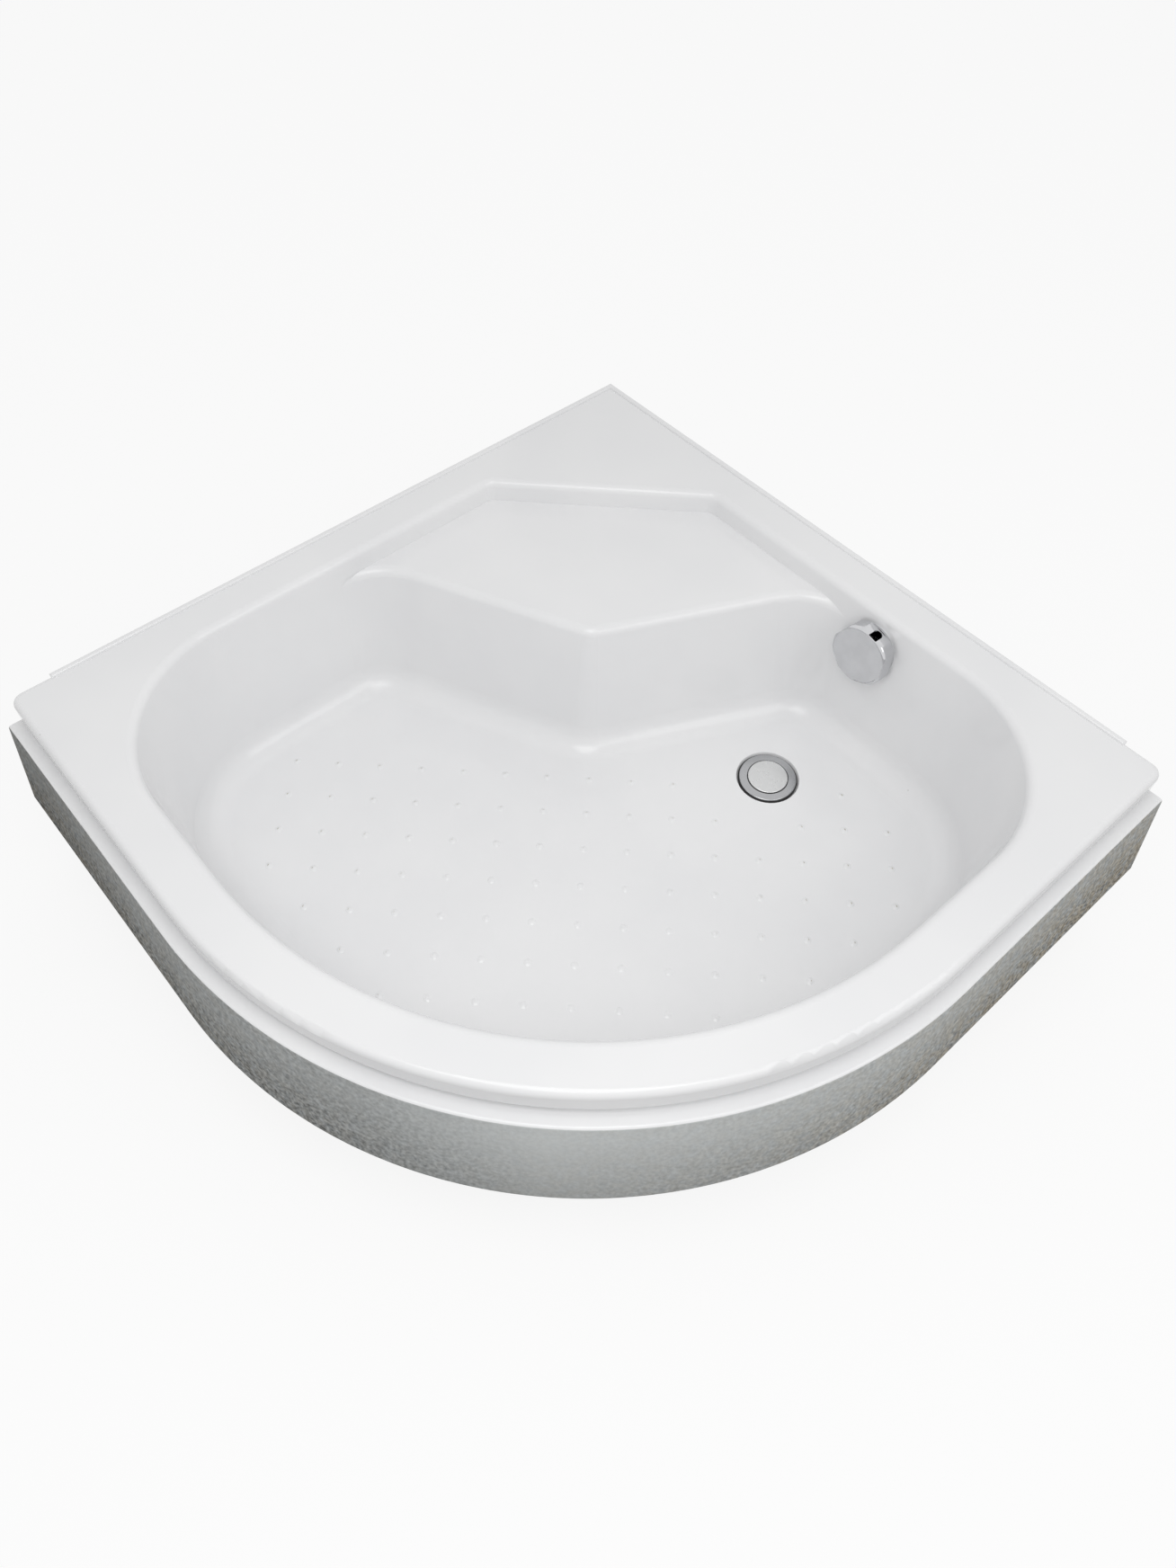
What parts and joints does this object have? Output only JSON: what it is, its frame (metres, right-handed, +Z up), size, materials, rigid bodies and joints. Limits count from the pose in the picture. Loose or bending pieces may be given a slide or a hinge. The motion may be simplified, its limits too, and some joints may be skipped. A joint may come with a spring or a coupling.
{
  "type": "shower tray",
  "caption": "Deep quadrant shower tray with a moulded corner seat, flared apron, support frame on levelling feet, pop-up drain and overflow knob.",
  "frame": {"origin": "on the ground, in the middle of the overall plan box", "axes": "+X and -Y run along the two walls away from their corner, which is at -X +Y; +Z up"},
  "size_m": [0.933, 0.933, 0.293],
  "materials": {
    "acrylic": "gloss white sanitary acrylic",
    "chrome": "polished chrome",
    "steel": "zinc plated",
    "frame": "grey powder coat",
    "board": "raw chipboard",
    "rubber": "matt",
    "trap": "white moulded plastic",
    "foot": "black moulded plastic"
  },
  "bodies": {
    "tray": {"tray_shell": "acrylic", "apron_panel": "acrylic", "drain_flange": "chrome", "overflow_ring": "chrome", "rail_screws": "steel", "bracket_screws": "steel", "apron_screws": "steel", "foot_nuts": "steel", "lock_nuts": "steel", "rail_diagonal": "frame", "rail_cross_left": "frame", "rail_cross_right": "frame", "seat_post": "frame", "apron_bracket_left": "frame", "apron_bracket_front_left": "frame", "apron_bracket_front_right": "frame", "apron_bracket_right": "frame", "base_board": "board", "seat_pad": "board", "drain_gasket_upper": "rubber", "drain_gasket_lower": "rubber", "overflow_gasket": "rubber", "outlet_seal": "rubber", "drain_body": "trap", "stem_guide": "trap", "trap_insert": "trap", "cable_guide": "trap", "outlet_pipe": "trap", "outlet_nut": "trap", "overflow_body": "trap", "overflow_pipe": "trap", "pipe_nuts": "trap", "cable_sheath": "foot", "cable_gland": "foot"},
    "knob": {"overflow_knob": "chrome", "knob_spindle": "steel"},
    "plug": {"drain_plug": "chrome", "plug_seal": "rubber", "plug_stem": "steel", "lift_pin": "steel"},
    "foot_1": {"foot_pad_1": "foot", "foot_stud_1": "steel"},
    "foot_2": {"foot_pad_2": "foot", "foot_stud_2": "steel"},
    "foot_3": {"foot_pad_3": "foot", "foot_stud_3": "steel"},
    "foot_4": {"foot_pad_4": "foot", "foot_stud_4": "steel"},
    "foot_5": {"foot_pad_5": "foot", "foot_stud_5": "steel"}
  },
  "joints": [
    {"name": "knob_turn", "type": "hinge", "parent": "tray", "child": "knob", "pos_m": [0.0825, 0.40582, 0.236], "axis": [0, -0.9945, 0.1045], "range_deg": [0, 90]},
    {"name": "plug_lift", "type": "slide", "parent": "tray", "child": "plug", "axis": [0, 0, 1], "range_m": [0, 0.009]},
    {"name": "foot_1_level", "type": "slide", "parent": "tray", "child": "foot_1", "axis": [0, 0, -1], "range_m": [-0.003, 0.02]},
    {"name": "foot_2_level", "type": "slide", "parent": "tray", "child": "foot_2", "axis": [0, 0, -1], "range_m": [-0.003, 0.02]},
    {"name": "foot_3_level", "type": "slide", "parent": "tray", "child": "foot_3", "axis": [0, 0, -1], "range_m": [-0.003, 0.02]},
    {"name": "foot_4_level", "type": "slide", "parent": "tray", "child": "foot_4", "axis": [0, 0, -1], "range_m": [-0.003, 0.02]},
    {"name": "foot_5_level", "type": "slide", "parent": "tray", "child": "foot_5", "axis": [0, 0, -1], "range_m": [-0.003, 0.02]}
  ],
  "couplings": [
    {"joint": "plug_lift", "follows": "knob_turn", "m_per_rad": 0.0057296}
  ]
}
